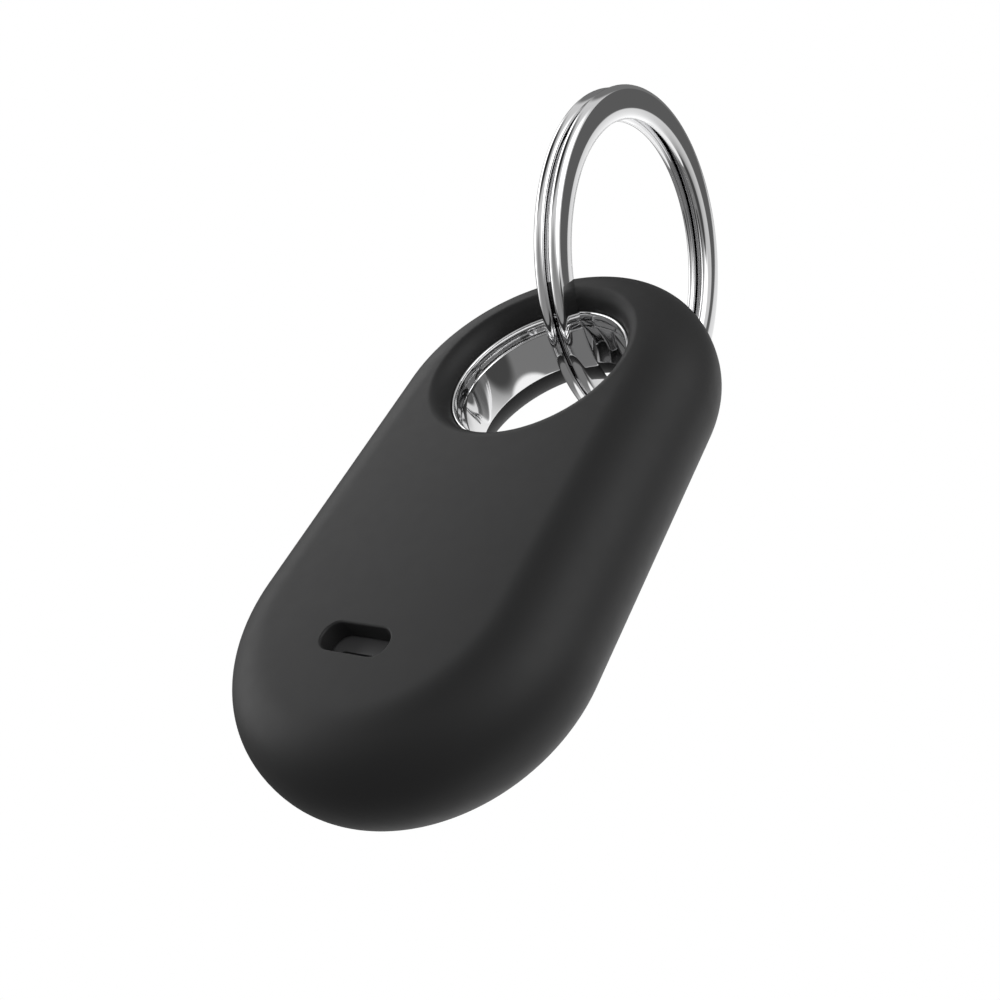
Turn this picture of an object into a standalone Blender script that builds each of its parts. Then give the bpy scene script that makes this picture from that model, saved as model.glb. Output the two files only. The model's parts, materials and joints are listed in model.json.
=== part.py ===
"""Bluetooth tracker tag in a silicone sleeve, hanging from a split ring.

Metres, +Z up. The origin is the point inside the top of the split ring where a hook or key holds it.
The tag hangs below along -Z, its front faces -Y and its width runs along X.
"""

from math import cos, pi, radians, sin

import bmesh
import bpy
from mathutils import Matrix, Vector

MM = 0.001

# Silicone sleeve: a flat capsule with a round edge, outside sizes. Its front faces -Y.
SLEEVE_RADIUS = 16.0 * MM
STRAIGHT_HALF = 13.1 * MM
SLEEVE_FRONT = -5.95 * MM
SLEEVE_BACK = 5.55 * MM
SLEEVE_EDGE = 5.45 * MM
CAVITY_RADIUS = 14.6 * MM
CAVITY_HALF_THICKNESS = 4.2 * MM
CAVITY_EDGE = 3.9 * MM

# Tag inside the sleeve: two plastic shells on one capsule outline.
TAG_RADIUS = 14.4 * MM
TAG_HALF_THICKNESS = 4.0 * MM
TAG_EDGE = 3.7 * MM
TAG_WALL = 0.9 * MM
SHELL_GAP = 0.4 * MM

# Ring hole, measured from the middle of the tag, and its metal liner.
HOLE_HEIGHT = 14.05 * MM
LIP_RADIUS = 8.8 * MM
LIP_WIDTH = 1.5 * MM
LIP_DEPTH = 2.2 * MM
BACK_LIP_RADIUS = 9.1 * MM
BACK_LIP_WIDTH = 2.4 * MM
BACK_LIP_DEPTH = 3.2 * MM
SHELL_BORE = 9.5 * MM
BORE_WALL = 0.9 * MM
LINER_OUTER = 9.35 * MM
LINER_INNER = 8.42 * MM
LINER_BACK = 2.25 * MM

# Split ring of flat-sided wire in two coils. The crossing between the coils is placed in degrees.
RING_OUTER = 17.55 * MM
RING_INNER = 14.25 * MM
WIRE_WIDTH = 1.17 * MM
COIL_GAP = 0.43 * MM
OUTER_ROUNDING = 0.65 * MM
INNER_ROUNDING = 1.6 * MM
HALF_CROSSING = 17
WIRE_END_GAP = 4
CROSSING_AT = -32
RING_CENTRE_HEIGHT = 35.8 * MM

# Sound slot, button and battery, measured from the middle of the tag.
SLOT_HEIGHT = -17.75 * MM
SLOT_LENGTH = 6.8 * MM
SLOT_WIDTH = 2.8 * MM
PORT_LENGTH = 5.0 * MM
PORT_WIDTH = 0.6 * MM
PORT_DROP = 0.4 * MM
BUTTON_HEIGHT = -4.0 * MM
BUTTON_RADIUS = 3.5 * MM
BATTERY_HEIGHT = -12.5 * MM
CELL_RADIUS = 10.0 * MM
CELL_THICKNESS = 3.2 * MM
CELL_FRONT = -0.25 * MM
BAY_RADIUS = 10.9 * MM
COVER_RADIUS = 11.5 * MM
WINDOW_RADIUS = 11.9 * MM
COVER_LUGS = 3
COVER_TURN = 25

# Planes of the board and frame, from front to back.
WALL_INSIDE = TAG_HALF_THICKNESS - TAG_WALL
BOARD_FRONT = -1.75 * MM
BOARD_BACK = -1.15 * MM
FRAME_FRONT = -1.0 * MM
FRAME_BACK = -0.4 * MM
BOARD_RADIUS = 12.9 * MM

# A cutter that goes right through the tag ends this far from its middle plane.
THROUGH = 7.0 * MM

AXIS_ALONG_Y = (-pi / 2, 0, 0)


# ---------------------------------------------------------------- scene and materials

def clear_scene():
    for obj in list(bpy.data.objects):
        bpy.data.objects.remove(obj)


def new_collection(name):
    collection = bpy.data.collections.new(name)
    bpy.context.scene.collection.children.link(collection)
    return collection


def principled(name, colour, roughness, metallic=0.0):
    material = bpy.data.materials.new(name)
    material.use_nodes = True
    shader = material.node_tree.nodes["Principled BSDF"]
    shader.inputs["Base Color"].default_value = (*colour, 1)
    shader.inputs["Roughness"].default_value = roughness
    shader.inputs["Metallic"].default_value = metallic
    return material


clear_scene()
PARTS = new_collection("bluetooth_tracker_tag")
CUTTERS = new_collection("cutters")

SILICONE = ((0.028, 0.028, 0.029), 0.6)
BLACK_PLASTIC = ((0.02, 0.02, 0.022), 0.4)
GREY_PLASTIC = ((0.12, 0.12, 0.13), 0.5)
RUBBER = ((0.03, 0.03, 0.03), 0.75)
CHROME = ((0.75, 0.75, 0.76), 0.06, 1.0)
STEEL = ((0.55, 0.55, 0.56), 0.3, 1.0)
BRASS = ((0.72, 0.52, 0.22), 0.35, 1.0)
COPPER = ((0.75, 0.38, 0.2), 0.3, 1.0)
GOLD = ((0.85, 0.62, 0.25), 0.25, 1.0)
BOARD_GREEN = ((0.01, 0.09, 0.05), 0.45)
CHIP_BLACK = ((0.015, 0.015, 0.017), 0.5)
CERAMIC = ((0.75, 0.73, 0.68), 0.5)


# ---------------------------------------------------------------- placing

def empty(name, parent, location):
    obj = bpy.data.objects.new(name, None)
    PARTS.objects.link(obj)
    obj.parent = parent
    obj.location = location
    return obj


RING_CENTRE = empty("ring_centre", None, (0, 0, -RING_INNER))
TAG_PIVOT = empty("tag_pivot", RING_CENTRE, (0, 0, 0))
TAG = empty("tag_middle", TAG_PIVOT, (0, 0, -RING_CENTRE_HEIGHT))


def place(name, mesh, look=None, height=0.0, rotation=(0, 0, 0), x=0.0):
    """A piece of the tag at that height above its middle. Without a look it is a cutter."""
    obj = bpy.data.objects.new(name, mesh)
    obj.parent = TAG
    obj.location = (x, 0, height)
    obj.rotation_euler = rotation
    if look is None:
        CUTTERS.objects.link(obj)
        obj.hide_render = True
        obj.display_type = "WIRE"
    else:
        PARTS.objects.link(obj)
        mesh.materials.append(principled(name, *look))
    return obj


def boolean(obj, other, operation="DIFFERENCE"):
    modifier = obj.modifiers.new(f"{operation.lower()} {other.name}", "BOOLEAN")
    modifier.operation = operation
    modifier.solver = "EXACT"
    modifier.object = other
    return obj


def bevel(obj, width, segments=1):
    modifier = obj.modifiers.new("bevel", "BEVEL")
    modifier.width = width
    modifier.segments = segments
    modifier.limit_method = "ANGLE"
    modifier.angle_limit = radians(40)
    return obj


def smooth(mesh, angle=35):
    mesh.shade_smooth()
    mesh.set_sharp_from_angle(angle=radians(angle))


# ---------------------------------------------------------------- outlines, as lists of (x, z)

def arc(centre, radius, start, end, steps):
    """Points from start to end, in degrees anticlockwise from +X."""
    turns = [radians(start + (end - start) * i / steps) for i in range(steps + 1)]
    return [(centre[0] + radius * cos(t), centre[1] + radius * sin(t)) for t in turns]


def capsule(radius, half=STRAIGHT_HALF, steps=24):
    """An upright capsule: two half circles joined by straight sides."""
    return arc((0, half), radius, 0, 180, steps) + arc((0, -half), radius, 180, 360, steps)


def lying_capsule(length, width, steps=8):
    half = (length - width) / 2
    right = arc((half, 0), width / 2, -90, 90, steps)
    return right + arc((-half, 0), width / 2, 90, 270, steps)


def sector(inner, outer, middle, span, steps=6):
    """Part of a flat ring, centred on the angle middle."""
    low = middle - span / 2
    high = middle + span / 2
    return arc((0, 0), outer, low, high, steps) + arc((0, 0), inner, high, low, steps)


# ---------------------------------------------------------------- solids

def curve_mesh(name, loops, half_thickness, edge=0.0, edge_steps=4):
    """A filled flat outline with thickness along its own Z, and a round edge if edge is given."""
    data = bpy.data.curves.new(name, "CURVE")
    data.dimensions = "2D"
    data.fill_mode = "BOTH"
    data.extrude = half_thickness - edge
    data.bevel_depth = edge
    data.bevel_resolution = edge_steps
    for loop in loops:
        spline = data.splines.new("POLY")
        spline.points.add(len(loop) - 1)
        spline.use_cyclic_u = True
        for point, (x, y) in zip(spline.points, loop):
            point.co = (x, y, 0, 1)
    curve = bpy.data.objects.new(name, data)
    bpy.context.scene.collection.objects.link(curve)
    graph = bpy.context.evaluated_depsgraph_get()
    mesh = bpy.data.meshes.new_from_object(curve.evaluated_get(graph))
    bpy.data.objects.remove(curve)
    shape = bmesh.new()
    shape.from_mesh(mesh)
    bmesh.ops.remove_doubles(shape, verts=shape.verts, dist=0.002 * MM)
    bmesh.ops.recalc_face_normals(shape, faces=shape.faces)
    shape.to_mesh(mesh)
    shape.free()
    mesh.name = name
    return mesh


def upright(mesh, front, back):
    """Turns a flat shape into the X-Z plane, between two depths along Y."""
    mesh.transform(Matrix.Translation((0, (front + back) / 2, 0)) @ Matrix.Rotation(pi / 2, 4, "X"))
    smooth(mesh)
    return mesh


def plate(name, loops, front, back, look=None, height=0.0, x=0.0):
    """A flat piece whose outline is given as outer and inner loops, between two depths along Y."""
    mesh = upright(curve_mesh(name, loops, (back - front) / 2), front, back)
    return place(name, mesh, look, height, x=x)


def round_edged(name, radius, front, back, edge, look=None, steps=24, edge_steps=4):
    """A capsule-shaped slab with a round edge, between two depths along Y."""
    outline = capsule(radius - edge, steps=steps)
    mesh = curve_mesh(name, [outline], (back - front) / 2, edge, edge_steps)
    return place(name, upright(mesh, front, back), look)


def turned(name, profile, look=None, height=0.0, steps=48, x=0.0, closed=True):
    """A shape turned about an axis along Y. The profile holds (radius, depth) pairs.

    It runs along the outer side from the back to the front. An open profile starts and ends on the axis.
    """
    mesh = bpy.data.meshes.new(name)
    count = len(profile)
    edges = [(i, (i + 1) % count) for i in range(count if closed else count - 1)]
    mesh.from_pydata([(r, 0, depth) for r, depth in profile], edges, [])
    obj = place(name, mesh, look, height, AXIS_ALONG_Y, x)
    screw = obj.modifiers.new("turn", "SCREW")
    screw.axis = "Z"
    screw.steps = steps
    screw.render_steps = steps
    screw.use_merge_vertices = True
    screw.merge_threshold = 0.001 * MM
    screw.use_smooth_shade = True
    return obj


def disc(name, radius, front, back, look=None, height=0.0, steps=48, x=0.0):
    profile = [(0, back), (radius, back), (radius, front), (0, front)]
    return turned(name, profile, look, height, steps, x, closed=False)


def washer(name, inner, outer, front, back, look=None, height=0.0, steps=48, x=0.0):
    profile = [(outer, back), (outer, front), (inner, front), (inner, back)]
    return turned(name, profile, look, height, steps, x)


def block(name, size, centre, look=None, edge=0.0):
    """A box given by its size and centre, both as (x, y, z), measured from the middle of the tag."""
    mesh = bpy.data.meshes.new(name)
    shape = bmesh.new()
    bmesh.ops.create_cube(shape, size=1, matrix=Matrix.Diagonal((*size, 1)))
    bmesh.ops.translate(shape, verts=shape.verts, vec=(0, centre[1], 0))
    shape.to_mesh(mesh)
    shape.free()
    obj = place(name, mesh, look, centre[2], x=centre[0])
    return bevel(obj, edge) if edge else obj


def leaf(name, path, width, thickness, across, look, height=0.0, x=0.0):
    """A spring leaf: a bent line of (along, depth) points given width along X or Z, then thickness."""
    mesh = bpy.data.meshes.new(name)
    shape = bmesh.new()
    rows = []
    for along, depth in path:
        sides = (-width / 2, width / 2)
        if across == "X":
            rows.append([shape.verts.new((side, depth, along)) for side in sides])
        else:
            rows.append([shape.verts.new((along, depth, side)) for side in sides])
    for low, high in zip(rows, rows[1:]):
        shape.faces.new((low[0], low[1], high[1], high[0]))
    bmesh.ops.recalc_face_normals(shape, faces=shape.faces)
    shape.to_mesh(mesh)
    shape.free()
    obj = place(name, mesh, look, height, x=x)
    solidify = obj.modifiers.new("thickness", "SOLIDIFY")
    solidify.thickness = thickness
    solidify.offset = 0
    return obj


# ---------------------------------------------------------------- split ring

def wire_section(steps=3):
    """A flat-sided wire with round outer and inner edges, as (across, distance from the ring's centre)."""
    points = []
    for edge, rounding, start in (
        (RING_OUTER - OUTER_ROUNDING, OUTER_ROUNDING, 0),
        (RING_INNER + INNER_ROUNDING, INNER_ROUNDING, 180),
    ):
        for i in range(steps + 1):
            t = radians(start + 180 * i / steps)
            points.append((WIRE_WIDTH / 2 * cos(t), edge + rounding * sin(t)))
    return points


def coil_offset(angle):
    """Distance of the wire along X from the ring's middle plane: one coil, a crossing, the other coil."""
    half_pitch = (WIRE_WIDTH + COIL_GAP) / 2
    position = (angle - pi) / radians(HALF_CROSSING)
    return half_pitch * sin(max(-1, min(1, position)) * pi / 2)


def split_ring(steps=90):
    """Two turns of wire. The crossing faces back and a little down, behind the tag."""
    wire_end = radians(HALF_CROSSING + WIRE_END_GAP)
    section = wire_section()
    shape = bmesh.new()
    rows = []
    for i in range(steps + 1):
        angle = wire_end - pi + i / steps * (4 * pi - 2 * wire_end)
        turn = angle - pi + radians(CROSSING_AT)
        out = Vector((0, cos(turn), sin(turn)))
        offset = coil_offset(angle)
        rows.append([shape.verts.new(Vector((offset + a, 0, 0)) + out * r) for a, r in section])
    count = len(section)
    for low, high in zip(rows, rows[1:]):
        for i in range(count):
            j = (i + 1) % count
            shape.faces.new((low[i], low[j], high[j], high[i]))
    shape.faces.new(rows[0])
    shape.faces.new(rows[-1])
    bmesh.ops.recalc_face_normals(shape, faces=shape.faces)
    mesh = bpy.data.meshes.new("split_ring")
    shape.to_mesh(mesh)
    shape.free()
    smooth(mesh, 50)
    mesh.materials.append(principled("split_ring", *CHROME))
    obj = bpy.data.objects.new("split_ring", mesh)
    PARTS.objects.link(obj)
    obj.parent = RING_CENTRE
    return obj


# ---------------------------------------------------------------- sleeve

def ring_hole_cutter():
    """The hole through the sleeve, with a soft lip in front and a wider one behind."""
    profile = [(0, THROUGH), (BACK_LIP_RADIUS + BACK_LIP_WIDTH, THROUGH)]
    for turn in (78, 60, 40, 20, 0):
        t = radians(turn)
        radius = BACK_LIP_RADIUS + BACK_LIP_WIDTH * (1 - cos(t))
        profile.append((radius, SLEEVE_BACK - BACK_LIP_DEPTH * (1 - sin(t))))
    profile.append((BACK_LIP_RADIUS, 0.5 * MM))
    profile.append((LIP_RADIUS, 0))
    for turn in (0, 20, 40, 60, 78):
        t = radians(turn)
        radius = LIP_RADIUS + LIP_WIDTH * (1 - cos(t))
        profile.append((radius, SLEEVE_FRONT + LIP_DEPTH * (1 - sin(t))))
    profile.append((LIP_RADIUS + LIP_WIDTH, -THROUGH))
    profile.append((0, -THROUGH))
    return turned("ring_hole_cutter", profile, height=HOLE_HEIGHT, steps=44, closed=False)


def silicone_sleeve():
    sleeve = round_edged(
        "silicone_sleeve", SLEEVE_RADIUS, SLEEVE_FRONT, SLEEVE_BACK, SLEEVE_EDGE, SILICONE
    )
    cavity = round_edged(
        "cavity_cutter", CAVITY_RADIUS, -CAVITY_HALF_THICKNESS, CAVITY_HALF_THICKNESS, CAVITY_EDGE,
        steps=16, edge_steps=2,
    )
    slot = plate(
        "slot_cutter",
        [lying_capsule(SLOT_LENGTH, SLOT_WIDTH)],
        -THROUGH,
        -CAVITY_HALF_THICKNESS + 0.5 * MM,
        height=SLOT_HEIGHT,
    )
    window = disc(
        "window_cutter", WINDOW_RADIUS, CAVITY_HALF_THICKNESS - 0.8 * MM, THROUGH, height=BATTERY_HEIGHT
    )
    for cutter in (cavity, ring_hole_cutter(), slot, window):
        boolean(sleeve, cutter)
    return sleeve


# ---------------------------------------------------------------- tag shells

def half_cutter(name, front, back):
    depth = back - front
    return block(name, (40 * MM, depth, 70 * MM), (0, (front + back) / 2, 0))


def shell_inside(name):
    """The space inside the tag: the capsule without the wall round the ring hole."""
    inside = round_edged(
        name, TAG_RADIUS - TAG_WALL, -WALL_INSIDE, WALL_INSIDE, TAG_EDGE - TAG_WALL,
        steps=18, edge_steps=2,
    )
    column = disc(
        f"{name}_column", SHELL_BORE + BORE_WALL, -THROUGH, THROUGH, height=HOLE_HEIGHT, steps=40
    )
    return boolean(inside, column)


def tag_shell(name, kept_front, kept_back):
    """One plastic shell, kept between two depths."""
    shell = round_edged(
        name, TAG_RADIUS, -TAG_HALF_THICKNESS, TAG_HALF_THICKNESS, TAG_EDGE, BLACK_PLASTIC,
        steps=20, edge_steps=3,
    )
    boolean(shell, shell_inside(f"{name}_inside"))
    boolean(shell, disc(f"{name}_bore", SHELL_BORE, -THROUGH, THROUGH, height=HOLE_HEIGHT, steps=40))
    if kept_front > -TAG_HALF_THICKNESS:
        boolean(shell, half_cutter(f"{name}_front_half", -THROUGH, kept_front))
    if kept_back < TAG_HALF_THICKNESS:
        boolean(shell, half_cutter(f"{name}_back_half", kept_back, THROUGH))
    return shell


SCREW_PLACES = {"left": (-10.6, 2.6), "right": (10.6, 2.6), "bottom": (0, -24.8)}


def front_shell():
    """Has the button's hole, three screw posts and a narrow sound port low in the sleeve's slot."""
    shell = tag_shell("front_shell", -TAG_HALF_THICKNESS, -SHELL_GAP)
    button_hole = disc(
        "button_hole", BUTTON_RADIUS + 0.1 * MM, -THROUGH, -2 * MM, height=BUTTON_HEIGHT, steps=32
    )
    port = plate(
        "sound_port", [lying_capsule(PORT_LENGTH, PORT_WIDTH)], -THROUGH, -2.9 * MM,
        height=SLOT_HEIGHT - PORT_DROP,
    )
    boolean(shell, button_hole)
    boolean(shell, port)
    for side, (x, z) in SCREW_PLACES.items():
        post = disc(
            f"post_{side}", 1.2 * MM, -WALL_INSIDE - 0.3 * MM, BOARD_FRONT - 0.1 * MM,
            height=z * MM, steps=16, x=x * MM,
        )
        pilot = disc(
            f"pilot_{side}", 0.6 * MM, -WALL_INSIDE + 0.2 * MM, 0, height=z * MM, steps=12, x=x * MM
        )
        boolean(shell, post, "UNION")
        boolean(shell, pilot)
    return shell


def rear_shell():
    """Has the round battery opening, with three lugs that hold the cover."""
    shell = tag_shell("rear_shell", SHELL_GAP, TAG_HALF_THICKNESS)
    opening = disc("battery_opening", BAY_RADIUS, 1 * MM, THROUGH, height=BATTERY_HEIGHT, steps=48)
    boolean(shell, opening)
    for i in range(COVER_LUGS):
        lug = plate(
            f"lug_{i}",
            [sector(BAY_RADIUS - 0.35 * MM, BAY_RADIUS + 0.4 * MM, 90 + 120 * i, 12)],
            WALL_INSIDE + 0.05 * MM,
            WALL_INSIDE + 0.35 * MM,
            height=BATTERY_HEIGHT,
        )
        boolean(shell, lug, "UNION")
    return shell


def shell_gasket():
    inner = TAG_RADIUS - TAG_WALL + 0.1 * MM
    outer = TAG_RADIUS - 0.15 * MM
    return plate(
        "shell_gasket",
        [capsule(outer, steps=20), capsule(inner, steps=20)],
        -0.3 * MM,
        0.3 * MM,
        RUBBER,
    )


def ring_liner():
    """A polished collar: a rounded front edge, a band, a small step and the long inner wall."""
    profile = [
        (LINER_OUTER, LINER_BACK),
        (LINER_OUTER, -3.8 * MM),
        (9.2 * MM, -3.95 * MM),
        (8.62 * MM, -4.1 * MM),
        (8.47 * MM, -4.0 * MM),
        (8.44 * MM, -3.85 * MM),
        (8.56 * MM, -3.6 * MM),
        (8.56 * MM, -2.7 * MM),
        (LINER_INNER + 0.04 * MM, -2.45 * MM),
        (LINER_INNER, -2.3 * MM),
        (LINER_INNER, LINER_BACK - 0.25 * MM),
        (8.55 * MM, LINER_BACK),
    ]
    return turned("ring_liner", profile, CHROME, HOLE_HEIGHT, steps=44)


# ---------------------------------------------------------------- button and battery cover

def front_button():
    """The pressed face, a wider flange behind the shell and a small nub that reaches the dome."""
    flange = BUTTON_RADIUS + 0.6 * MM
    profile = [
        (0, -2.72 * MM),
        (0.9 * MM, -2.72 * MM),
        (0.9 * MM, -2.8 * MM),
        (flange, -2.8 * MM),
        (flange, -3.0 * MM),
        (BUTTON_RADIUS, -3.0 * MM),
        (BUTTON_RADIUS, -3.85 * MM),
        (BUTTON_RADIUS - 0.15 * MM, -4.0 * MM),
        (0, -4.0 * MM),
    ]
    return turned("front_button", profile, BLACK_PLASTIC, BUTTON_HEIGHT, steps=32, closed=False)


def battery_cover():
    """A twist cover with a coin slot. Grooves in its skirt run under the lugs of the rear shell."""
    skirt_outer = BAY_RADIUS - 0.15 * MM
    skirt_inner = CELL_RADIUS + 0.15 * MM
    plate_front = WALL_INSIDE
    flange_front = TAG_HALF_THICKNESS + 0.3 * MM
    face = flange_front + 0.5 * MM
    profile = [
        (0, face),
        (COVER_RADIUS - 0.2 * MM, face),
        (COVER_RADIUS, face - 0.2 * MM),
        (COVER_RADIUS, flange_front),
        (skirt_outer, flange_front),
        (skirt_outer, 2.3 * MM),
        (skirt_inner, 2.3 * MM),
        (skirt_inner, plate_front),
        (0, plate_front),
    ]
    cover = turned("battery_cover", profile, BLACK_PLASTIC, BATTERY_HEIGHT, steps=48, closed=False)
    slot = plate(
        "coin_slot_cutter", [lying_capsule(13 * MM, 1.8 * MM)], face - 0.6 * MM, THROUGH,
        height=BATTERY_HEIGHT,
    )
    boolean(cover, slot)
    for i in range(COVER_LUGS):
        lug = 90 + 120 * i
        run = plate(
            f"lug_groove_{i}",
            [sector(BAY_RADIUS - 0.45 * MM, BAY_RADIUS + 1 * MM, lug + COVER_TURN / 2, COVER_TURN + 16)],
            WALL_INSIDE - 0.1 * MM,
            WALL_INSIDE + 0.5 * MM,
            height=BATTERY_HEIGHT,
        )
        way_in = plate(
            f"lug_way_in_{i}",
            [sector(BAY_RADIUS - 0.45 * MM, BAY_RADIUS + 1 * MM, lug + COVER_TURN, 16, 4)],
            1.5 * MM,
            WALL_INSIDE,
            height=BATTERY_HEIGHT,
        )
        boolean(cover, run)
        boolean(cover, way_in)
    return cover


def cover_seal():
    """An O-ring round the cover's skirt, just under its flange."""
    sides = 6
    radius = 0.13 * MM
    middle = BAY_RADIUS + 0.16 * MM
    depth = TAG_HALF_THICKNESS + 0.15 * MM
    profile = []
    for i in range(sides):
        t = 2 * pi * i / sides
        profile.append((middle + radius * cos(t), depth - radius * sin(t)))
    return turned("cover_seal", profile, RUBBER, BATTERY_HEIGHT, steps=32)


# ---------------------------------------------------------------- battery and contacts

def coin_cell():
    back = CELL_FRONT + CELL_THICKNESS
    wall = 0.3 * MM
    can = [
        (0, back),
        (CELL_RADIUS - 0.25 * MM, back),
        (CELL_RADIUS, back - 0.25 * MM),
        (CELL_RADIUS, CELL_FRONT + 0.3 * MM),
        (CELL_RADIUS - 0.2 * MM, CELL_FRONT + 0.1 * MM),
        (CELL_RADIUS - wall - 0.2 * MM, CELL_FRONT + 0.1 * MM),
        (CELL_RADIUS - wall, CELL_FRONT + 0.4 * MM),
        (CELL_RADIUS - wall, back - wall),
        (0, back - wall),
    ]
    turned("coin_cell_can", can, STEEL, BATTERY_HEIGHT, steps=40, closed=False)
    washer(
        "coin_cell_seal", 9.0 * MM, 9.5 * MM, CELL_FRONT + 0.25 * MM, back - 0.6 * MM,
        GREY_PLASTIC, BATTERY_HEIGHT, steps=32,
    )
    cap = [
        (0, back - 0.6 * MM),
        (8.8 * MM, back - 0.6 * MM),
        (8.8 * MM, CELL_FRONT + 0.3 * MM),
        (8.5 * MM, CELL_FRONT),
        (0, CELL_FRONT),
    ]
    turned("coin_cell_cap", cap, STEEL, BATTERY_HEIGHT, steps=40, closed=False)


def battery_contacts():
    """A bowed leaf under the cell's cap, and a hooked leaf against its rim."""
    bowed = [(-3.2, -1.0), (-2.2, -1.0), (0.2, -0.38), (1.6, -0.38), (2.8, -0.75)]
    leaf(
        "negative_contact", [(along * MM, depth * MM) for along, depth in bowed], 2.6 * MM,
        0.15 * MM, "X", GOLD, BATTERY_HEIGHT,
    )
    hooked = [(-12.3, -1.0), (-11.1, -1.0), (-10.9, -0.4), (-10.45, 0.9), (-10.2, 1.5), (-10.7, 2.05)]
    leaf(
        "positive_contact", [(along * MM, depth * MM) for along, depth in hooked], 3.0 * MM,
        0.15 * MM, "Z", GOLD, BATTERY_HEIGHT,
    )


# ---------------------------------------------------------------- board, frame and components

def board_outline_piece(name, radius, front, back, look, hole_margin, top):
    """A plate that fills the capsule below the ring hole, with ears on both sides of it."""
    piece = plate(name, [capsule(radius, steps=20)], front, back, look)
    hole = SHELL_BORE + BORE_WALL + hole_margin
    boolean(piece, disc(f"{name}_hole", hole, -THROUGH, THROUGH, height=HOLE_HEIGHT, steps=40))
    boolean(piece, block(f"{name}_top", (40 * MM, 12 * MM, 30 * MM), (0, 0, top + 15 * MM)))
    for side, (x, z) in SCREW_PLACES.items():
        screw_hole = disc(
            f"{name}_screw_hole_{side}", 0.7 * MM, -THROUGH, THROUGH, height=z * MM, steps=12, x=x * MM
        )
        boolean(piece, screw_hole)
    return piece


def circuit_board():
    return board_outline_piece(
        "circuit_board", BOARD_RADIUS, BOARD_FRONT, BOARD_BACK, BOARD_GREEN, 0.4 * MM, 9.5 * MM
    )


def mid_frame():
    """Holds the board down and cradles the cell, with a window and a notch for its two contacts."""
    frame = board_outline_piece(
        "mid_frame", BOARD_RADIUS, FRAME_FRONT, FRAME_BACK, GREY_PLASTIC, 0.5 * MM, 6 * MM
    )
    cradle = washer(
        "cradle_wall", CELL_RADIUS + 0.3 * MM, CELL_RADIUS + 1.1 * MM, FRAME_BACK - 0.3 * MM, 2.0 * MM,
        height=BATTERY_HEIGHT, steps=40,
    )
    boolean(frame, cradle, "UNION")
    boolean(frame, block("cap_window", (4 * MM, 3 * MM, 8 * MM), (0, FRAME_FRONT, BATTERY_HEIGHT)))
    boolean(frame, block("rim_notch", (3.4 * MM, 6 * MM, 4 * MM), (-11.4 * MM, 1 * MM, BATTERY_HEIGHT)))
    return frame


def screws():
    for side, (x, z) in SCREW_PLACES.items():
        head_front = FRAME_BACK + 0.05 * MM
        profile = [
            (0, head_front + 0.45 * MM),
            (0.9 * MM, head_front + 0.45 * MM),
            (1.0 * MM, head_front + 0.35 * MM),
            (1.0 * MM, head_front),
            (0.5 * MM, head_front),
            (0.5 * MM, -2.6 * MM),
            (0, -2.75 * MM),
        ]
        screw = turned(f"screw_{side}", profile, STEEL, z * MM, 16, x * MM, closed=False)
        drive = block(
            f"drive_{side}", (1.2 * MM, 0.5 * MM, 0.25 * MM),
            (x * MM, head_front + 0.5 * MM, z * MM),
        )
        boolean(screw, drive)


def switch():
    """A square base with a snap dome in front of it, in line with the button."""
    base_front = BOARD_FRONT - 0.4 * MM
    block(
        "switch_base", (4.4 * MM, 0.33 * MM, 4.4 * MM),
        (0, BOARD_FRONT - 0.235 * MM, BUTTON_HEIGHT), GREY_PLASTIC, 0.08 * MM,
    )
    dome = [(0, 0.13), (1.2, 0.06), (1.7, 0.04), (1.7, 0.1), (1.2, 0.15), (0, 0.22)]
    profile = [(radius * MM, base_front - lift * MM) for radius, lift in dome]
    turned("switch_dome", profile, STEEL, BUTTON_HEIGHT, steps=24, closed=False)


def on_board(name, size_x, size_z, tall, x, z, look, edge=0.08):
    """A component on the board's front, its size and place in millimetres."""
    lift = 0.05
    depth = BOARD_FRONT - (lift + tall / 2) * MM
    return block(name, (size_x * MM, tall * MM, size_z * MM), (x * MM, depth, z * MM), look, edge * MM)


def radio_parts():
    on_board("radio_chip", 5.0, 5.0, 0.7, 8.0, -4.6, CHIP_BLACK)
    on_board("crystal", 2.0, 1.6, 0.5, 7.0, -9.0, STEEL)
    on_board("power_capacitor", 3.5, 2.6, 1.0, 6.4, 0.6, BRASS)
    on_board("bluetooth_antenna", 1.4, 3.2, 0.9, 11.0, 6.6, CERAMIC)
    on_board("locating_antenna", 1.6, 4.6, 0.5, -11.0, 6.2, COPPER)
    on_board("locating_chip", 3.6, 3.6, 0.6, -8.0, -4.4, CHIP_BLACK)
    can = on_board("shield_can", 5.6, 6.4, 0.95, -8.0, -4.4, STEEL, 0.15)
    inside = block(
        "shield_can_inside", (5.2 * MM, 1.1 * MM, 6.0 * MM),
        (-8.0 * MM, BOARD_FRONT - 0.25 * MM, -4.4 * MM),
    )
    boolean(can, inside)
    washer(
        "nfc_coil", 5.2 * MM, 7.1 * MM, -WALL_INSIDE + 0.05 * MM, -WALL_INSIDE + 0.15 * MM, COPPER,
        BUTTON_HEIGHT, steps=32,
    )


def sounder():
    """A piezo disc that faces the sound port, with a gasket round it and a mesh over the port."""
    plate(
        "sound_mesh", [lying_capsule(7 * MM, 3 * MM)], -WALL_INSIDE + 0.05 * MM,
        -WALL_INSIDE + 0.2 * MM, STEEL, SLOT_HEIGHT,
    )
    washer("sounder_gasket", 4.7 * MM, 5.7 * MM, -2.85 * MM, -2.45 * MM, RUBBER, SLOT_HEIGHT, steps=36)
    disc("sounder_disc", 5.7 * MM, -2.4 * MM, -2.2 * MM, BRASS, SLOT_HEIGHT, steps=36)
    disc("sounder_ceramic", 4.4 * MM, -2.15 * MM, -1.9 * MM, CERAMIC, SLOT_HEIGHT, steps=32)


# ---------------------------------------------------------------- the whole tag

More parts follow.
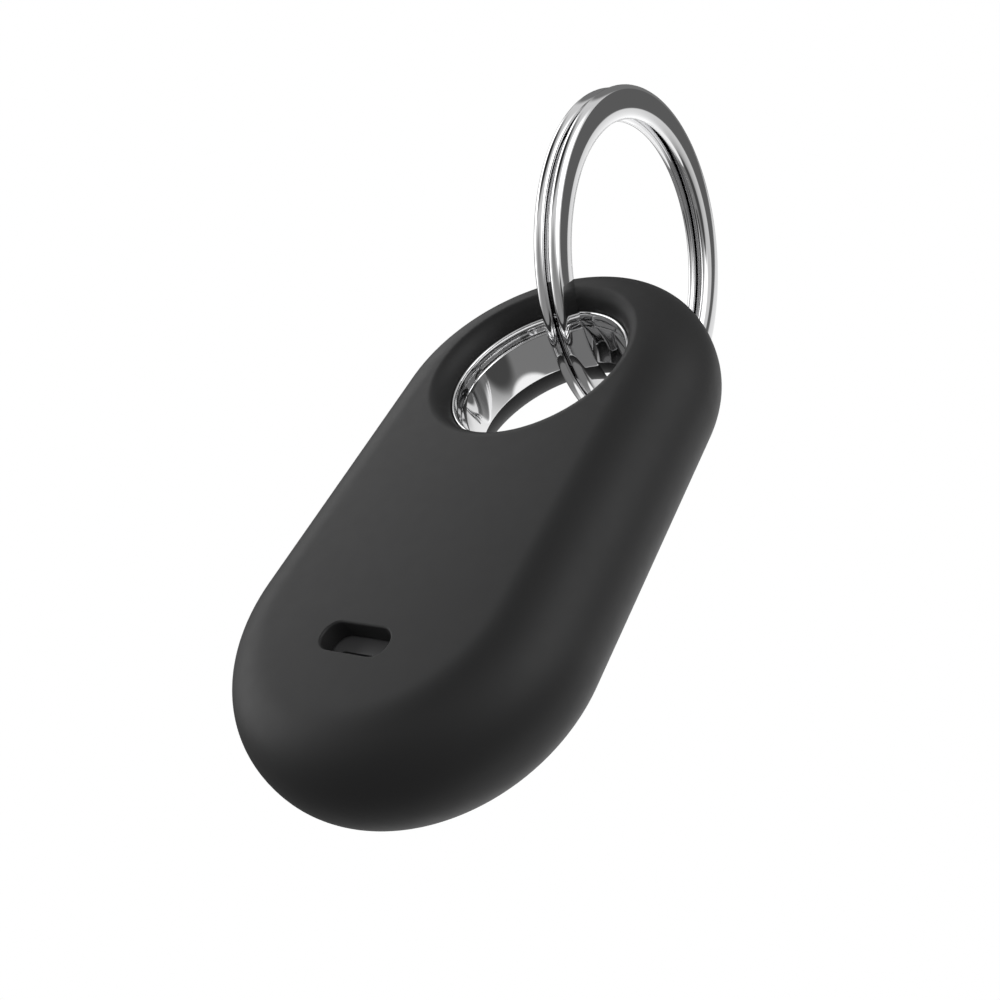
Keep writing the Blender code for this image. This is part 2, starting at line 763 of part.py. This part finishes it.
split_ring()
silicone_sleeve()
front_shell()
rear_shell()
shell_gasket()
ring_liner()
front_button()
battery_cover()
cover_seal()
coin_cell()
battery_contacts()
circuit_board()
mid_frame()
screws()
switch()
radio_parts()
sounder()
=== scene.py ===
"""Looks of the bluetooth tracker tag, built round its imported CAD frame.

Metres, +Z up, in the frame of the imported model. Heights of the tag are given from its middle.
"""

import json
from math import cos, pi, radians, sin

import bmesh
import bpy
import numpy as np
from mathutils import Matrix, Vector


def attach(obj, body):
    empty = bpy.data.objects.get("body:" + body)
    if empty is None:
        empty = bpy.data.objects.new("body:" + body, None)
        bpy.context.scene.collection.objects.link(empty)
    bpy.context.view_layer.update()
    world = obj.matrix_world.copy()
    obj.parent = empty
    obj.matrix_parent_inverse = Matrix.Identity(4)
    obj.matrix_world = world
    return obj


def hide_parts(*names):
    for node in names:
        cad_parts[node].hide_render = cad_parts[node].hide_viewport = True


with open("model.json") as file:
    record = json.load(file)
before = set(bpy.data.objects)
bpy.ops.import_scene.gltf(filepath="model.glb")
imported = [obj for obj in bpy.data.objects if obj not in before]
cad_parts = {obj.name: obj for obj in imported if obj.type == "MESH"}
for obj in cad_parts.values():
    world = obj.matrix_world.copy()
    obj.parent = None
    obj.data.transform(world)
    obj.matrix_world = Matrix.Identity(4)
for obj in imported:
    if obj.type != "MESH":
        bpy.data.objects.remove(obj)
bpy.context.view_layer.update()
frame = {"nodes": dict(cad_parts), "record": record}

MM = 0.001

# Sockets of a Mix node, whose names repeat: the two numbers or two colours that go in, and what comes out.
MIX_FACTOR = 0
MIX_NUMBERS = (2, 3)
MIX_COLOURS = (6, 7)
MIXED_NUMBER = 0
MIXED_COLOUR = 2

# Heights of the tag's middle and of the ring's centre.
RING_CENTRE = -14.25 * MM
TAG_MIDDLE = -50.05 * MM

# Sleeve, and the cavity inside it. Thicknesses are from the middle plane. Each has a rounded edge of that
# width, whose section is a superellipse of that power.
SLEEVE_RADIUS = 16.0 * MM
STRAIGHT_HALF = 13.1 * MM
FRONT_THICKNESS = 5.95 * MM
BACK_THICKNESS = 5.55 * MM
EDGE_WIDTH = 5.45 * MM
EDGE_POWER = 2.15
CAVITY_RADIUS = 14.6 * MM
CAVITY_HALF = 4.2 * MM
CAVITY_EDGE = 3.9 * MM
CAVITY_POWER = 2

# Ring hole and its lips. The lips end in a thin skin over the casing's bore.
HOLE_HEIGHT = 14.05 * MM
LIP_RADIUS = 8.8 * MM
LIP_WIDTH = 1.5 * MM
LIP_DEPTH = 2.2 * MM
BACK_LIP_RADIUS = 9.1 * MM
BACK_LIP_WIDTH = 2.4 * MM
BACK_LIP_DEPTH = 3.2 * MM
LIP_SKIN = 0.15 * MM

# Metal liner of the ring hole: its outer radius and depth at the back, its front bead, and then the
# stretches of its inner face from the bead to the back, as (radius, depth) in millimetres.
LINER_OUTER = 9.0 * MM
LINER_BACK = 2.25 * MM
BEAD_MIDDLE = 8.62 * MM
BEAD_DEPTH = -3.92 * MM
BEAD_RADIUS = 0.18 * MM
BEAD_TURN = 1.3 * pi
LINER_BAND = [(8.56, -3.7), (8.56, -3.2)]
LINER_STEP = [(8.53, -3.14), (8.51, -3.08), (8.51, -2.6)]
LINER_WALL = [(8.48, -2.46), (8.43, -2.4), (8.42, -2.3), (8.42, 2.0)]
LINER_CORNER = [(8.45, 2.15), (8.53, 2.23), (8.65, 2.25)]

# Sound slot and battery window, which are cut into the sleeve down to their bottoms.
SLOT_HEIGHT = -17.75 * MM
SLOT_LENGTH = 6.6 * MM
SLOT_WIDTH = 2.55 * MM
SLOT_RIM = 0.2 * MM
SLOT_BOTTOM = -3.9 * MM
BATTERY_HEIGHT = -12.5 * MM
WINDOW_RADIUS = 11.9 * MM
WINDOW_RIM = 0.5 * MM
WINDOW_BOTTOM = 3.4 * MM

# Twist cover of the battery. Its face, flange, bottom and floor are depths along Y, and the dish is sunk
# in its face. COVER_MIDDLE is the small radius at which its section starts and ends.
COVER_RADIUS = 11.5 * MM
COVER_FACE = 4.8 * MM
COVER_RIM = 0.22 * MM
COVER_FLANGE = 4.3 * MM
COVER_BOTTOM = 2.3 * MM
COVER_FLOOR = 3.1 * MM
SKIRT_OUTER = 10.75 * MM
SKIRT_INNER = 10.15 * MM
DISH_DEPTH = 0.12 * MM
DISH_RADIUS = 8.6 * MM
DISH_SLOPE_RADIUS = 8.9 * MM
DISH_SLOPE_DEPTH = 0.04 * MM
DISH_EDGE = 9.2 * MM
COVER_MIDDLE = 0.02 * MM
COIN_SLOT_LENGTH = 13 * MM
COIN_SLOT_WIDTH = 1.8 * MM
COIN_SLOT_DEPTH = 0.6 * MM
COIN_SLOT_RIM = 0.15 * MM

# Split ring: a flat-sided wire with rounded edges, in two coils. CROSSING_AT is where the wire crosses from
# one coil to the other, turned up from the back, and its ends are just past the crossing on either side.
RING_OUTER = 17.55 * MM
RING_INNER = 14.25 * MM
OUTER_ROUNDING = 0.65 * MM
INNER_ROUNDING = 1.85 * MM
RING_MIDDLE = (RING_OUTER + RING_INNER) / 2
WIRE_WIDTH = 1.17 * MM
COIL_GAP = 0.43 * MM
COIL_PITCH = WIRE_WIDTH + COIL_GAP
HALF_CROSSING = radians(17)
WIRE_END = HALF_CROSSING + radians(4)
CROSSING_AT = radians(-32)

# The rounding of the wire's two ends: its length, how much smaller the wire gets, and where its rows are.
END_ROUNDING = 0.12 * MM
END_SHRINK = 0.12
END_STEPS = (0.0, 0.35, 0.7, 0.9)

# How far a cutter reaches past the surface that it opens, and a distance longer than the object.
CLEAR = 0.5 * MM
FARTHEST = 100 * MM


# ---------------------------------------------------------------- node helpers

def node(tree, kind, inputs=None, **settings):
    """A shader node. Inputs are keyed by name or number. A socket is linked, and any other value is set."""
    made = tree.nodes.new(kind)
    for key, value in settings.items():
        setattr(made, key, value)
    for key, value in (inputs or {}).items():
        if isinstance(value, bpy.types.NodeSocket):
            tree.links.new(value, made.inputs[key])
        else:
            made.inputs[key].default_value = value
    return made


def object_coordinates(tree):
    return node(tree, "ShaderNodeTexCoord").outputs["Object"]


def noise(tree, scale, detail):
    where = object_coordinates(tree)
    made = node(tree, "ShaderNodeTexNoise", {"Vector": where, "Scale": scale, "Detail": detail})
    return made.outputs["Fac"]


def between(tree, factor, low, high, start=0.0, end=1.0):
    """The factor mapped from start..end to low..high."""
    limits = {"Value": factor, "From Min": start, "From Max": end, "To Min": low, "To Max": high}
    return node(tree, "ShaderNodeMapRange", limits).outputs["Result"]


def mixed(tree, factor, *colours):
    """A colour between two others, which are given as sockets or as three numbers."""
    made = node(tree, "ShaderNodeMix", {MIX_FACTOR: factor}, data_type="RGBA")
    for key, colour in zip(MIX_COLOURS, colours):
        if isinstance(colour, bpy.types.NodeSocket):
            tree.links.new(colour, made.inputs[key])
        else:
            made.inputs[key].default_value = (*colour, 1)
    return made.outputs[MIXED_COLOUR]


def bumped(tree, shader, height, strength, distance):
    """Raises the shader's surface by that height."""
    made = node(tree, "ShaderNodeBump", {"Height": height, "Strength": strength, "Distance": distance})
    tree.links.new(made.outputs["Normal"], shader.inputs["Normal"])


def material(name, metallic=0.0, ior=1.5):
    """A new material, its node tree and its surface shader."""
    made = bpy.data.materials.new(name)
    made.use_nodes = True
    shader = made.node_tree.nodes["Principled BSDF"]
    shader.inputs["Metallic"].default_value = metallic
    shader.inputs["IOR"].default_value = ior
    return made, made.node_tree, shader


def connect(tree, shader, **sockets):
    """Links sockets to the shader's inputs of those names."""
    for key, value in sockets.items():
        tree.links.new(value, shader.inputs[key.replace("_", " ")])


# ---------------------------------------------------------------- materials

def silicone_look():
    """Matte moulded rubber: near black, with a faint haze and a very fine skin."""
    made, tree, shader = material("silicone", ior=1.35)
    haze = noise(tree, scale=90, detail=4)
    colour = mixed(tree, haze, (0.0165, 0.0165, 0.0168), (0.0215, 0.0215, 0.0219))
    roughness = between(tree, noise(tree, scale=700, detail=3), low=0.46, high=0.54)
    connect(tree, shader, Base_Color=colour, Roughness=roughness)
    bumped(tree, shader, noise(tree, scale=9000, detail=2), strength=0.08, distance=0.01 * MM)
    return made


def metal_look(name, dark, light, roughness_range, grain, scratch):
    """Metal with faint smudges in its polish and fine scratches."""
    made, tree, shader = material(name, metallic=1.0)
    colour = mixed(tree, noise(tree, scale=grain, detail=4), dark, light)
    wear = noise(tree, scale=grain / 3, detail=5)
    roughness = between(tree, wear, *roughness_range, start=0.3, end=0.7)
    connect(tree, shader, Base_Color=colour, Roughness=roughness)
    bumped(tree, shader, noise(tree, scale=grain * 15, detail=2), strength=scratch, distance=0.005 * MM)
    return made


def plastic_look(name, dark, light, roughness_range, grain):
    """Moulded plastic or rubber with an even spark-eroded grain."""
    made, tree, shader = material(name)
    colour = mixed(tree, noise(tree, scale=300, detail=4), dark, light)
    roughness = between(tree, noise(tree, scale=grain / 4, detail=3), *roughness_range)
    connect(tree, shader, Base_Color=colour, Roughness=roughness)
    bumped(tree, shader, noise(tree, scale=grain, detail=2), strength=0.15, distance=0.01 * MM)
    return made


def board_look():
    """Green solder mask over copper tracks, which the mortar of a brick pattern draws."""
    made, tree, shader = material("board_green")
    tracks = node(tree, "ShaderNodeTexBrick", {
        "Vector": object_coordinates(tree),
        "Scale": 700.0,
        "Mortar Size": 0.03,
        "Brick Width": 0.9,
        "Row Height": 0.4,
    }).outputs["Fac"]
    mask = mixed(tree, noise(tree, scale=800, detail=3), (0.008, 0.075, 0.035), (0.012, 0.1, 0.05))
    colour = mixed(tree, tracks, mask, (0.03, 0.17, 0.07))
    roughness = between(tree, noise(tree, scale=2000, detail=2), low=0.3, high=0.42)
    connect(tree, shader, Base_Color=colour, Roughness=roughness)
    bumped(tree, shader, tracks, strength=0.4, distance=0.02 * MM)
    return made


# Darkest and lightest colour, lowest and highest roughness, size of the smudges, depth of the scratches.
METALS = {
    "chrome": ((0.86, 0.86, 0.87), (0.9, 0.9, 0.9), (0.03, 0.06), 200, 0.01),
    "steel": ((0.5, 0.5, 0.51), (0.62, 0.62, 0.62), (0.24, 0.36), 900, 0.15),
    "brass": ((0.66, 0.46, 0.18), (0.78, 0.58, 0.28), (0.28, 0.42), 700, 0.15),
    "gold_plate": ((0.82, 0.58, 0.22), (0.9, 0.68, 0.32), (0.18, 0.28), 700, 0.1),
    "copper": ((0.68, 0.32, 0.16), (0.8, 0.42, 0.24), (0.25, 0.38), 700, 0.12),
}

# Darkest and lightest colour, lowest and highest roughness, size of the grain.
PLASTICS = {
    "black_plastic": ((0.09, 0.09, 0.092), (0.106, 0.106, 0.108), (0.36, 0.46), 6000),
    "grey_plastic": ((0.1, 0.1, 0.11), (0.14, 0.14, 0.15), (0.45, 0.55), 6000),
    "seal_rubber": ((0.02, 0.02, 0.02), (0.032, 0.032, 0.032), (0.7, 0.82), 6000),
    "chip_black": ((0.012, 0.012, 0.014), (0.02, 0.02, 0.022), (0.46, 0.58), 6000),
    "ceramic": ((0.68, 0.66, 0.6), (0.78, 0.76, 0.71), (0.42, 0.55), 3000),
}

LOOKS = {"silicone": silicone_look(), "board_green": board_look()}
LOOKS.update({name: metal_look(name, *numbers) for name, numbers in METALS.items()})
LOOKS.update({name: plastic_look(name, *numbers) for name, numbers in PLASTICS.items()})


def dress_nodes():
    """Gives each CAD node the look of its material slot in the record."""
    slots = {}
    for part in frame["record"]["subparts"]:
        slots[part["node"]] = part["material_slot"]
    for name, obj in frame["nodes"].items():
        obj.data.materials.clear()
        obj.data.materials.append(LOOKS[slots[name]])


# ---------------------------------------------------------------- mesh helpers

def new_piece(name, mesh, look, body, *stands_for, smooth_below=40):
    """Puts a mesh, which is already in place, on its body instead of the nodes that it stands for.

    Its edges that turn by less than smooth_below degrees look smooth.
    """
    mesh.shade_smooth()
    mesh.set_sharp_from_angle(angle=radians(smooth_below))
    mesh.materials.clear()
    mesh.materials.append(LOOKS[look])
    obj = bpy.data.objects.new(name, mesh)
    bpy.context.scene.collection.objects.link(obj)
    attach(obj, body)
    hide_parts(*stands_for)


def grid_mesh(name, rows, capped=False):
    """A mesh over rows of points. The rows go round in a ring, or are capped at both ends."""
    count, width = rows.shape[:2]
    faces = []
    for i in range(count - 1 if capped else count):
        this = i * width
        following = (i + 1) % count * width
        for j in range(width):
            beside = (j + 1) % width
            faces.append((this + j, following + j, following + beside, this + beside))
    if capped:
        faces.append(tuple(range(width)))
        faces.append(tuple(reversed(range((count - 1) * width, count * width))))
    mesh = bpy.data.meshes.new(name)
    mesh.from_pydata(rows.reshape(-1, 3).tolist(), [], faces)
    shape = bmesh.new()
    shape.from_mesh(mesh)
    bmesh.ops.recalc_face_normals(shape, faces=shape.faces)
    shape.to_mesh(mesh)
    shape.free()
    return mesh


def turned_mesh(name, profile, height, steps=192, capped=False):
    """A profile of (radius, depth) pairs turned about an axis along Y at that height of the tag.

    The profile is a closed loop, or is open and then has a cap at each end.
    """
    angles = np.arange(steps) / steps * 2 * pi
    radius, depth = np.array(profile).T
    rows = np.empty((steps, len(profile), 3))
    rows[..., 0] = np.outer(np.cos(angles), radius)
    rows[..., 1] = depth
    rows[..., 2] = np.outer(np.sin(angles), radius) + TAG_MIDDLE + height
    if not capped:
        return grid_mesh(name, rows)
    return grid_mesh(name, np.swapaxes(rows, 0, 1), capped=True)


def stadium(length, width, grow, steps=16):
    """Outline of a lying capsule, as (x, z) rows, grown outwards by that much."""
    half = (length - width) / 2
    radius = width / 2 + grow
    points = []
    for side, start in ((1, -90), (-1, 90)):
        for i in range(steps + 1):
            t = radians(start + 180 * i / steps)
            points.append((side * half + radius * cos(t), radius * sin(t)))
    return points


def stadium_mesh(name, length, width, levels, height):
    """A lying capsule stacked through (grow, depth) levels."""
    rows = []
    for grow, depth in levels:
        outline = stadium(length, width, grow)
        rows.append([(x, depth, z + TAG_MIDDLE + height) for x, z in outline])
    return grid_mesh(name, np.array(rows), capped=True)


def cut(mesh, *cutters):
    """The mesh with the cutters' shapes taken out of it."""
    obj = bpy.data.objects.new("cut", mesh)
    bpy.context.scene.collection.objects.link(obj)
    helpers = []
    for cutter in cutters:
        helper = bpy.data.objects.new("cutter", cutter)
        bpy.context.scene.collection.objects.link(helper)
        helpers.append(helper)
        modifier = obj.modifiers.new("cut", "BOOLEAN")
        modifier.object = helper
        modifier.solver = "EXACT"
    graph = bpy.context.evaluated_depsgraph_get()
    made = bpy.data.meshes.new_from_object(obj.evaluated_get(graph))
    for helper in (*helpers, obj):
        bpy.data.objects.remove(helper)
    return made


def fillet(radius, start, end, steps=8):
    """Offsets (across, along) on a round of that radius, between two angles in degrees."""
    turns = np.radians(np.linspace(start, end, steps + 1))
    return [(radius * cos(t), radius * sin(t)) for t in turns]


# ---------------------------------------------------------------- sleeve

def outline_points(radius, count):
    """Points evenly along a capsule's outline, as (x, z) from the tag's middle."""
    straight = 2 * STRAIGHT_HALF
    half_turn = pi * radius
    points = []
    for i in range(count):
        at = 2 * (straight + half_turn) * i / count
        if at < half_turn:
            t = at / radius
            points.append((radius * cos(t), STRAIGHT_HALF + radius * sin(t)))
        elif at < half_turn + straight:
            points.append((-radius, STRAIGHT_HALF - (at - half_turn)))
        elif at < 2 * half_turn + straight:
            t = (at - straight) / radius
            points.append((radius * cos(t), -STRAIGHT_HALF + radius * sin(t)))
        else:
            points.append((radius, -STRAIGHT_HALF + at - 2 * half_turn - straight))
    return np.array(points)


def inside_distance(x, z, radius):
    """How far a point is inside a capsule of that radius."""
    beyond = np.maximum(np.abs(z) - STRAIGHT_HALF, 0)
    return radius - np.hypot(x, beyond)


def reach(directions, radius, halvings=40):
    """Distance along each ray from the hole's centre to a capsule of that radius."""
    low = np.zeros(len(directions))
    high = np.full(len(directions), FARTHEST)
    for _ in range(halvings):
        middle = (low + high) / 2
        x = directions[:, 0] * middle
        z = directions[:, 1] * middle + HOLE_HEIGHT
        inside = inside_distance(x, z, radius) > 0
        low = np.where(inside, middle, low)
        high = np.where(inside, high, middle)
    return low


def dome(distance, width, power):
    """Height of a rounded edge, from 0 at the outline to 1 where the flat face starts."""
    short = np.clip(1 - distance / width, 0, 1)
    return (1 - short**power) ** (1 / power)


def lip(distance, width, fall):
    """How far a lip falls away at that distance from its hole."""
    short = np.clip(1 - distance / width, 0, 1)
    return fall * (1 - np.sqrt(1 - short**2))


def spread(directions, inner, radius, steps):
    """Distances along each ray from the hole's edge to a capsule's outline, closer at both ends."""
    share = (1 - np.cos(np.linspace(0, pi, steps + 1))) / 2
    far = reach(directions, radius)[:, None]
    return inner + (far - inner) * share


def raised(directions, along, radius, thickness, edge, power):
    """Depth of a round-edged capsule slab at those distances."""
    x = directions[:, :1] * along
    z = directions[:, 1:] * along + HOLE_HEIGHT
    depth = thickness * dome(np.maximum(inside_distance(x, z, radius), 0), edge, power)
    depth[:, -1] = 0
    return depth


def sleeve_side(directions, inner, thickness, lip_width, lip_depth, outer_steps=90, inner_steps=40):
    """Outer and inner surface of one side of the sleeve, as (distances, depths), from the hole out."""
    along = spread(directions, inner, SLEEVE_RADIUS, outer_steps)
    depth = raised(directions, along, SLEEVE_RADIUS, thickness, EDGE_WIDTH, EDGE_POWER)
    depth = depth - lip(along - inner, lip_width, lip_depth)
    within = spread(directions, inner, CAVITY_RADIUS, inner_steps)
    cavity = raised(directions, within, CAVITY_RADIUS, CAVITY_HALF, CAVITY_EDGE, CAVITY_POWER)
    face = thickness - lip(within - inner, lip_width, lip_depth)
    return (along, depth), (within, np.minimum(cavity, face - LIP_SKIN))


def sleeve_body(columns=420):
    """The sleeve's section, swept round the ring hole: front, edge, back, and the cavity inside."""
    rays = outline_points(SLEEVE_RADIUS, columns) - (0, HOLE_HEIGHT)
    directions = rays / np.linalg.norm(rays, axis=1)[:, None]
    front, inside_front = sleeve_side(directions, LIP_RADIUS, FRONT_THICKNESS, LIP_WIDTH, LIP_DEPTH)
    back, inside_back = sleeve_side(
        directions, BACK_LIP_RADIUS, BACK_THICKNESS, BACK_LIP_WIDTH, BACK_LIP_DEPTH
    )
    along = np.hstack([
        front[0], back[0][:, -2::-1], inside_back[0], inside_front[0][:, -2::-1]
    ])
    depth = np.hstack([
        -front[1], back[1][:, -2::-1], inside_back[1], -inside_front[1][:, -2::-1]
    ])
    rows = np.stack([
        directions[:, :1] * along, depth, directions[:, 1:] * along + HOLE_HEIGHT + TAG_MIDDLE
    ], axis=2)
    return grid_mesh("sleeve", rows)


def slot_cutter():
    """The sound slot, with a soft rim at the sleeve's front."""
    levels = [(0, SLOT_BOTTOM)]
    for across, out in fillet(SLOT_RIM, start=180, end=100):
        levels.append((SLOT_RIM + across, -FRONT_THICKNESS + SLOT_RIM - out))
    levels.append((SLOT_RIM, -FRONT_THICKNESS - CLEAR))
    return stadium_mesh("slot", SLOT_LENGTH, SLOT_WIDTH, levels, SLOT_HEIGHT)


def window_cutter():
    """The round battery window, with a soft rim at the sleeve's back."""
    profile = [(WINDOW_RADIUS, WINDOW_BOTTOM)]
    outer = WINDOW_RADIUS + WINDOW_RIM
    for across, out in fillet(WINDOW_RIM, start=180, end=100):
        profile.append((outer + across, BACK_THICKNESS - WINDOW_RIM + out))
    profile.append((outer, BACK_THICKNESS + 2 * CLEAR))
    return turned_mesh("window", profile, BATTERY_HEIGHT, capped=True)


def silicone_sleeve():
    """The sleeve with its sound slot and battery window."""
    mesh = cut(sleeve_body(), slot_cutter(), window_cutter())
    new_piece("sleeve_skin", mesh, "silicone", "tag", "silicone_sleeve")


# ---------------------------------------------------------------- metal

def ring_liner(bead_points=16):
    """A polished collar: a rounded front bead, a band, a small step and the long inner wall."""
    profile = [(LINER_OUTER, LINER_BACK)]
    for t in np.linspace(0, BEAD_TURN, bead_points):
        profile.append((BEAD_MIDDLE + BEAD_RADIUS * cos(t), BEAD_DEPTH - BEAD_RADIUS * sin(t)))
    for radius, depth in (*LINER_BAND, *LINER_STEP, *LINER_WALL, *LINER_CORNER):
        profile.append((radius * MM, depth * MM))
    mesh = turned_mesh("liner", profile, HOLE_HEIGHT)
    new_piece("ring_liner_polished", mesh, "chrome", "tag", "ring_liner", smooth_below=30)


def wire_section(steps=14):
    """A flat-sided wire with round outer and inner edges, as (across, out) from its middle."""
    points = []
    for edge, rounding, start in (
        (RING_OUTER - OUTER_ROUNDING, OUTER_ROUNDING, 0),
        (RING_INNER + INNER_ROUNDING, INNER_ROUNDING, 180),
    ):
        for i in range(steps + 1):
            t = radians(start + 180 * i / steps)
            points.append((WIRE_WIDTH / 2 * cos(t), edge - RING_MIDDLE + rounding * sin(t)))
    return np.array(points)


def wire_turns(steps=640):
    """Angles along the wire from end to end, and how large its section is at each of them."""
    ends = np.array(END_STEPS)
    whole = WIRE_END - pi + np.linspace(0, 1, steps + 1) * (4 * pi - 2 * WIRE_END)
    beyond = END_ROUNDING / RING_MIDDLE * (1 - ends)
    angles = np.concatenate([whole[0] - beyond, whole, whole[-1] + beyond[::-1]])
    rounded = 1 - END_SHRINK * (1 - np.sqrt(1 - (1 - ends) ** 2))
    sizes = np.concatenate([rounded, np.ones(len(whole)), rounded[::-1]])
    return angles, sizes[:, None]


def coil_offset(angle):
    """Where the wire lies along X: one coil, a crossing, the other coil."""
    position = np.clip((angle - pi) / HALF_CROSSING, -1, 1)
    return COIL_PITCH / 2 * np.sin(position * pi / 2)


def split_ring():
    """Two turns of wire whose crossing is behind the tag."""
    angles, sizes = wire_turns()
    section = wire_section()
    across = coil_offset(angles)[:, None] + section[:, 0] * sizes
    outward = RING_MIDDLE + section[:, 1] * sizes
    turn = (angles - pi + CROSSING_AT)[:, None]
    rows = np.stack([
        across, outward * np.cos(turn), outward * np.sin(turn) + RING_CENTRE
    ], axis=2)
    mesh = grid_mesh("ring", rows, capped=True)
    new_piece("split_ring_polished", mesh, "chrome", "ring", "split_ring", smooth_below=50)


# ---------------------------------------------------------------- battery cover

def cover_body():
    """The cover turned about its middle: a shallow dish, a soft rim, a flange and a skirt."""
    profile = [
        (COVER_MIDDLE, COVER_FACE - DISH_DEPTH),
        (DISH_RADIUS, COVER_FACE - DISH_DEPTH),
        (DISH_SLOPE_RADIUS, COVER_FACE - DISH_SLOPE_DEPTH),
        (DISH_EDGE, COVER_FACE),
    ]
    for across, out in fillet(COVER_RIM, start=90, end=0):
        profile.append((COVER_RADIUS - COVER_RIM + across, COVER_FACE - COVER_RIM + out))
    profile += [
        (COVER_RADIUS, COVER_FLANGE),
        (SKIRT_OUTER, COVER_FLANGE),
        (SKIRT_OUTER, COVER_BOTTOM),
        (SKIRT_INNER, COVER_BOTTOM),
        (SKIRT_INNER, COVER_FLOOR),
        (COVER_MIDDLE, COVER_FLOOR),
    ]
    return turned_mesh("cover", profile, BATTERY_HEIGHT, capped=True)


def coin_slot_cutter():
    """The slot that a coin turns the cover by, with a soft rim."""
    levels = [(0, COVER_FACE - COIN_SLOT_DEPTH)]
    for across, out in fillet(COIN_SLOT_RIM, start=180, end=100):
        levels.append((COIN_SLOT_RIM + across, COVER_FACE - DISH_DEPTH - COIN_SLOT_RIM + out))
    levels.append((COIN_SLOT_RIM, COVER_FACE + CLEAR))
    return stadium_mesh("coin_slot", COIN_SLOT_LENGTH, COIN_SLOT_WIDTH, levels, BATTERY_HEIGHT)


def battery_cover():
    """The cover with its coin slot."""
    mesh = cut(cover_body(), coin_slot_cutter())
    new_piece("battery_cover_moulded", mesh, "black_plastic", "cover", "battery_cover")


# ---------------------------------------------------------------- studio

# Camera: its place, its backward and upward directions, and its lens and sensor in millimetres.
CAMERA_AT = (0.05444, -0.05618, -0.09759)
CAMERA_BACK = (0.5878, -0.6077, -0.5341)
CAMERA_UP = (-0.0394, -0.6809, 0.7314)
CAMERA_LENS = 38.02
CAMERA_SENSOR = 36
CAMERA_CLIP = 1 * MM

FLOOR_RADIUS = 1.5
FLOOR_HEIGHT = -0.3

# Soft discs of light and shade round the tag, painted over each other in this order:
# azimuth from the front towards +X, elevation, inner and outer radius in degrees, brightness.
AMBIENT = 0.64
STUDIO = [
    (168, -43, 60, 95, 0.19),
    (-141, 87, 27, 34, 0.18),
    (-72, 13, 30, 38, 2.8),
    (68, 17, 1, 39, 2.3),
    (180, 10, 2, 58, 1.25),
    (-20, 14, 9, 40, 0.02),
    (110, -3, 15, 24, 0.06),
    (158, -11, 25, 28, 1.0),
    (-115, 20, 1, 55, 0.12),
    (123, 52, 11, 13, 0.11),
    (20, -67, 27, 48, 0.26),
    (-126, 55, 5, 17, 0.03),
]


def towards(azimuth, elevation):
    """The direction of that azimuth and elevation, both in degrees."""
    turn = radians(azimuth)
    flat = cos(radians(elevation))
    return Vector((sin(turn) * flat, -cos(turn) * flat, sin(radians(elevation))))


def soft_world():
    """The studio's soft boxes. The camera sees plain white instead of them."""
    world = bpy.data.worlds.new("studio")
    bpy.context.scene.world = world
    world.use_nodes = True
    tree = world.node_tree
    tree.nodes.clear()
    direction = node(tree, "ShaderNodeTexCoord").outputs["Generated"]
    level = AMBIENT
    for azimuth, elevation, inner, outer, brightness in STUDIO:
        dot = node(
            tree, "ShaderNodeVectorMath", {0: direction, 1: towards(azimuth, elevation)},
            operation="DOT_PRODUCT",
        )
        edge = {
            "Value": dot.outputs["Value"],
            "From Min": cos(radians(outer)),
            "From Max": cos(radians(inner)),
        }
        mask = node(tree, "ShaderNodeMapRange", edge, interpolation_type="SMOOTHSTEP")
        below, above = MIX_NUMBERS
        blend = node(
            tree, "ShaderNodeMix",
            {MIX_FACTOR: mask.outputs["Result"], below: level, above: brightness},
            data_type="FLOAT",
        )
        level = blend.outputs[MIXED_NUMBER]
    lit = node(tree, "ShaderNodeBackground", {"Color": (1, 1, 1, 1), "Strength": level})
    plain = node(tree, "ShaderNodeBackground", {"Color": (1, 1, 1, 1), "Strength": 1.0})
    seen = node(tree, "ShaderNodeLightPath").outputs["Is Camera Ray"]
    both = node(tree, "ShaderNodeMixShader", {0: seen, 1: lit.outputs[0], 2: plain.outputs[0]})
    node(tree, "ShaderNodeOutputWorld", {"Surface": both.outputs[0]})


def floor():
    """A pale floor well below. It is seen, and neither lights nor shades the tag."""
    mesh = bpy.data.meshes.new("floor")
    shape = bmesh.new()
    bmesh.ops.create_circle(shape, cap_ends=True, segments=96, radius=FLOOR_RADIUS)
    shape.to_mesh(mesh)
    shape.free()
    made, tree, shader = material("floor")
    colour = mixed(tree, noise(tree, scale=12, detail=3), (0.82, 0.82, 0.82), (0.86, 0.86, 0.86))
    connect(tree, shader, Base_Color=colour)
    shader.inputs["Roughness"].default_value = 0.9
    mesh.materials.append(made)
    obj = bpy.data.objects.new("floor", mesh)
    obj.location = (0, 0, FLOOR_HEIGHT)
    bpy.context.scene.collection.objects.link(obj)
    for ray in ("visible_diffuse", "visible_glossy", "visible_shadow"):
        setattr(obj, ray, False)


def camera():
    """Below the tag and to its right, looking up at its front."""
    back = Vector(CAMERA_BACK).normalized()
    up = Vector(CAMERA_UP)
    right = up.cross(back).normalized()
    up = back.cross(right)
    data = bpy.data.cameras.new("camera")
    data.sensor_width = CAMERA_SENSOR
    data.lens = CAMERA_LENS
    data.clip_start = CAMERA_CLIP
    obj = bpy.data.objects.new("camera", data)
    turn = Matrix((right, up, back)).transposed().to_4x4()
    obj.matrix_world = Matrix.Translation(CAMERA_AT) @ turn
    bpy.context.scene.collection.objects.link(obj)
    bpy.context.scene.camera = obj


dress_nodes()
silicone_sleeve()
ring_liner()
split_ring()
battery_cover()
soft_world()
floor()
camera()
bpy.context.scene.view_settings.view_transform = "Standard"
